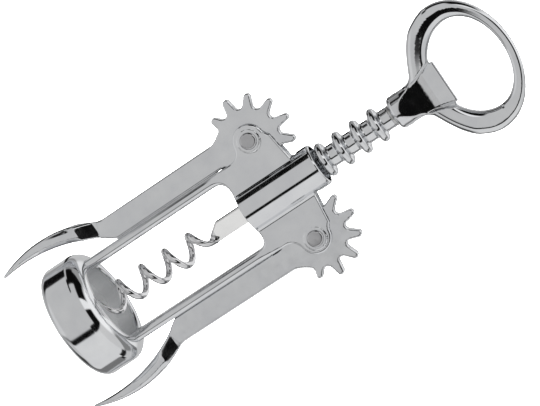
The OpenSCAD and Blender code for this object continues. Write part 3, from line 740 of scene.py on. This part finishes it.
def metal(name, dark, light, rough, waves, grain):
    """A metal with varied tone and roughness, fine grain and, where given, soft waves."""
    made = bpy.data.materials.new(name)
    made.use_nodes = True
    tree = made.node_tree
    tree.nodes.clear()
    shader = node(tree, "BsdfPrincipled", in_Metallic=1.0)
    out = node(tree, "OutputMaterial")
    tree.links.new(shader.outputs[0], out.inputs["Surface"])
    tone = tones(tree, noise(tree, TONE_SCALE, TONE_DETAIL), dark, light, TONE_STOPS)
    tree.links.new(tone, shader.inputs["Base Color"])
    tree.links.new(roughness(tree, rough), shader.inputs["Roughness"])
    relief = bump(tree, noise(tree, waves[0], WAVE_DETAIL), waves[1]) if waves else None
    relief = bump(tree, noise(tree, grain[0], GRAIN_DETAIL), grain[1], relief)
    tree.links.new(relief, shader.inputs["Normal"])
    return made


def floor_paper():
    made = bpy.data.materials.new("floor_paper")
    made.use_nodes = True
    tree = made.node_tree
    shader = tree.nodes["Principled BSDF"]
    shader.inputs["Roughness"].default_value = FLOOR_ROUGHNESS
    shader.inputs["Specular IOR Level"].default_value = 0.0
    dark, light = [(tone, tone, tone) for tone in FLOOR_TONES]
    tree.links.new(tones(tree, noise(tree, FLOOR_SCALE), dark, light),
                   shader.inputs["Base Color"])
    return made


# ---------------------------------------------------------------- studio

# Panels and gaps round the object, as (start in degrees, grey). The azimuth is 0 towards -Y
# and grows towards +X.
LEVEL = [(-180, 0.60), (-166, 0.004), (-122, 0.50), (-92, 0.004), (-62, 0.58), (11, 0.004),
         (25, 0.75), (104, 0.01), (118, 0.60)]
HIGH = [(-180, 0.60), (-150, 0.30), (-115, 0.004), (-78, 0.58), (10, 0.004), (26, 0.75),
        (94, 0.01), (108, 0.60)]
LOW = [(-180, 0.60), (-150, 0.35), (-126, 0.004), (-102, 0.58), (15, 0.004), (27, 0.75),
       (104, 0.20), (134, 0.60)]
ABOVE = [(-180, 0.90), (-150, 0.35), (-110, 0.004), (-45, 0.95), (-20, 0.004), (26, 0.65),
         (104, 0.25), (134, 0.90)]
OVERHEAD = [(-180, 1.0)]
BELOW = [(-180, 0.60), (-140, 0.45), (-90, 0.70), (7, 0.25), (24, 0.60), (72, 0.05),
         (125, 0.50)]
PANEL_EDGE, BELOW_EDGE = 1.5, 6    # half the width of a panel's soft edge, in degrees
# Each is laid over those before it: not yet at its first height, and fully from its second.
LAYERS = [(LOW, PANEL_EDGE, -0.25, -0.29), (HIGH, PANEL_EDGE, -0.15, -0.11),
          (ABOVE, PANEL_EDGE, 0.33, 0.43), (OVERHEAD, PANEL_EDGE, 0.84, 0.92),
          (BELOW, BELOW_EDGE, -0.55, -0.75)]
BACKDROP = 0.95
FLOOR_HALF, FLOOR_GAP = 30.0, 0.0006
SUN_STRENGTH, SUN_ANGLE = 16.0, math.radians(110)
CAMERA_AZIMUTH, CAMERA_ELEVATION, CAMERA_ROLL = -5.4, 12.3, 56.55
CAMERA_TARGET, CAMERA_DISTANCE = (0.0017, 0, 0.0679), 0.607
CAMERA_LENS, CAMERA_SENSOR, CAMERA_CLIP = 127.3, 36, (0.01, 100)


def make_floor():
    h, z = FLOOR_HALF, CAD_BOUNDS[0][2] - FLOOR_GAP
    mesh = bpy.data.meshes.new("floor")
    mesh.from_pydata([(-h, -h, z), (h, -h, z), (h, h, z), (-h, h, z)], [], [(0, 1, 2, 3)])
    floor = bpy.data.objects.new("floor", mesh)
    bpy.context.scene.collection.objects.link(floor)
    floor.visible_glossy = False
    floor.data.materials.append(floor_paper())


def around(stops, edge):
    """Places over 0..1 and greys for stops over the azimuth, each with a soft edge."""
    made = [(0.0, stops[0][1])]
    for (_, before), (start, grey) in zip(stops, stops[1:]):
        made.append(((start - edge + 180) / 360, before))
        made.append(((start + edge + 180) / 360, grey))
    return made


def ramp(tree, value, stops):
    """A ramp over 0..1 from (place, grey) stops."""
    made = node(tree, "ValToRGB")
    elements = made.color_ramp.elements
    while len(elements) > 1:
        elements.remove(elements[-1])
    for k, (place, grey) in enumerate(stops):
        element = elements[0] if k == 0 else elements.new(place)
        element.position = place
        element.color = (grey, grey, grey, 1)
    tree.links.new(value, made.inputs["Fac"])
    return made.outputs["Color"]


def mix(tree, a, b, fac):
    """Colour a where fac is 0 and b where it is 1. The Mix node takes colours at 6 and 7."""
    made = node(tree, "Mix", data_type="RGBA")
    tree.links.new(fac, made.inputs[0])
    tree.links.new(a, made.inputs[6])
    tree.links.new(b, made.inputs[7])
    return made.outputs[2]


def past_height(tree, height, start, end):
    """0 up to a height in the sky and 1 past it."""
    made = node(tree, "MapRange", in_From_Min=start, in_From_Max=end)
    tree.links.new(height, made.inputs["Value"])
    return made.outputs[0]


def azimuth(tree, x, y):
    """The azimuth over 0..1, with 0.5 towards -Y."""
    minus_y = node(tree, "Math", operation="MULTIPLY")
    minus_y.inputs[1].default_value = -1
    tree.links.new(y, minus_y.inputs[0])
    angle = node(tree, "Math", operation="ARCTAN2")
    tree.links.new(x, angle.inputs[0])
    tree.links.new(minus_y.outputs[0], angle.inputs[1])
    turn = node(tree, "MapRange", in_From_Min=-math.pi, in_From_Max=math.pi)
    tree.links.new(angle.outputs[0], turn.inputs["Value"])
    return turn.outputs[0]


def sky_colour(tree):
    """Soft grey panels and dark gaps round the object, as a studio's cards are."""
    place = node(tree, "TexCoord")
    split = node(tree, "SeparateXYZ")
    tree.links.new(place.outputs["Generated"], split.inputs[0])
    turn = azimuth(tree, split.outputs["X"], split.outputs["Y"])
    sky = ramp(tree, turn, around(LEVEL, PANEL_EDGE))
    for stops, edge, start, end in LAYERS:
        layer = ramp(tree, turn, around(stops, edge))
        sky = mix(tree, sky, layer, past_height(tree, split.outputs["Z"], start, end))
    return sky


def make_world():
    """The studio that lights the metal. What is seen past the object is plain."""
    world = bpy.data.worlds.new("studio")
    bpy.context.scene.world = world
    world.use_nodes = True
    tree = world.node_tree
    tree.nodes.clear()
    studio = node(tree, "Background", in_Strength=1.0)
    tree.links.new(sky_colour(tree), studio.inputs["Color"])
    plain = node(tree, "Background", in_Strength=1.0, in_Color=(BACKDROP,) * 3 + (1,))
    path = node(tree, "LightPath")
    both = node(tree, "MixShader")
    tree.links.new(path.outputs["Is Camera Ray"], both.inputs[0])
    tree.links.new(studio.outputs[0], both.inputs[1])
    tree.links.new(plain.outputs[0], both.inputs[2])
    out = node(tree, "OutputWorld")
    tree.links.new(both.outputs[0], out.inputs["Surface"])


def make_light():
    """Soft light from above for the floor. It doesn't show in the metal."""
    data = bpy.data.lights.new("sky_panel", "SUN")
    data.energy = SUN_STRENGTH
    data.angle = SUN_ANGLE
    light = bpy.data.objects.new("sky_panel", data)
    light.visible_glossy = False
    bpy.context.scene.collection.objects.link(light)


def make_camera():
    """The object stands upright, and the camera is rolled until it leans across the frame."""
    az, el, roll = (math.radians(a) for a in (CAMERA_AZIMUTH, CAMERA_ELEVATION, CAMERA_ROLL))
    back = Vector((math.sin(az) * math.cos(el), -math.cos(az) * math.cos(el), math.sin(el)))
    level = Vector((math.cos(az), math.sin(az), 0))
    up = back.cross(level)
    right = level * math.cos(roll) + up * math.sin(roll)
    top = up * math.cos(roll) - level * math.sin(roll)
    data = bpy.data.cameras.new("camera")
    data.lens = CAMERA_LENS
    data.sensor_width = CAMERA_SENSOR
    data.clip_start, data.clip_end = CAMERA_CLIP
    camera = bpy.data.objects.new("camera", data)
    turn = Matrix((right, top, back)).transposed().to_4x4()
    place = Vector(CAMERA_TARGET) + back * CAMERA_DISTANCE
    camera.matrix_world = Matrix.Translation(place) @ turn
    bpy.context.scene.collection.objects.link(camera)
    bpy.context.scene.camera = camera


# ---------------------------------------------------------------- the whole

SEAT_REACH, SHOULDER_REACH = 0.3, 1.0
TROUGH_FRONT, TROUGH_REACH = 0.3, 0.35
BLADE_REACH = 2


def inside_bell(x, y, z):
    return (np.hypot(x, y) < SEAT_R + SEAT_REACH) & (z < BELL_TOP - SHOULDER_REACH)


def in_trough(x, y, z):
    on_floor = np.abs(y - trough_floor(z)) < TROUGH_REACH
    return on_floor & (y < -TROUGH_FRONT) & (np.abs(x) < TONGUE_W / 2)


def on_blade(x, y, z):
    return z > BLADE_SHOULDER - BLADE_REACH


def second_finish(obj, material, chosen):
    """Gives the faces whose centres are chosen, in millimetres, a second material."""
    obj.data.materials.append(material)
    mesh = obj.data
    centre = np.empty(len(mesh.polygons) * 3)
    mesh.polygons.foreach_get("center", centre)
    index = chosen(*(centre.reshape(-1, 3).T / MM)).astype(np.int32)
    mesh.polygons.foreach_set("material_index", index)


def finish(obj, slot, body, cad_node):
    """Gives a piece its slot and the metal of that name, and its body, in place of a CAD node."""
    obj.data.materials.append(metals[slot])
    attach(obj, body)
    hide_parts(cad_node)


def dress_cad():
    """Paints the CAD nodes that show as they are."""
    for obj in frame["nodes"].values():
        for place in obj.material_slots:
            place.material = metals[place.material.name.split(".")[0]]


metals = {name: metal(name, *look) for name, look in METALS.items()}
dress_cad()
handle = make_handle()
finish(handle, "handle_chrome", "worm_shaft", "handle_ring")
second_finish(handle, metals["neck_cast"], in_trough)
lever_right, lever_left = make_levers()
finish(lever_right, "lever_chrome", "right_lever", "right_lever")
finish(lever_left, "lever_chrome", "left_lever", "left_lever")
shell_front, shell_back = make_shells()
finish(shell_front, "shell_chrome", "frame", "front_shell")
finish(shell_back, "shell_chrome", "frame", "back_shell")
bell = make_bell()
finish(bell, "bell_chrome", "frame", "bell")
second_finish(bell, metals["bell_inside"], inside_bell)
worm = make_worm()
finish(worm, "worm_steel", "worm_shaft", "worm")
second_finish(worm, metals["blade_satin"], on_blade)
finish(make_rack(), "rack_chrome", "rack", "rack_sleeve")
rivet_right, rivet_left = make_rivets()
finish(rivet_right, "rivet_steel", "frame", "right_rivet")
finish(rivet_left, "rivet_steel", "frame", "left_rivet")
make_floor()
make_world()
make_light()
make_camera()
bpy.context.scene.view_settings.view_transform = "Standard"
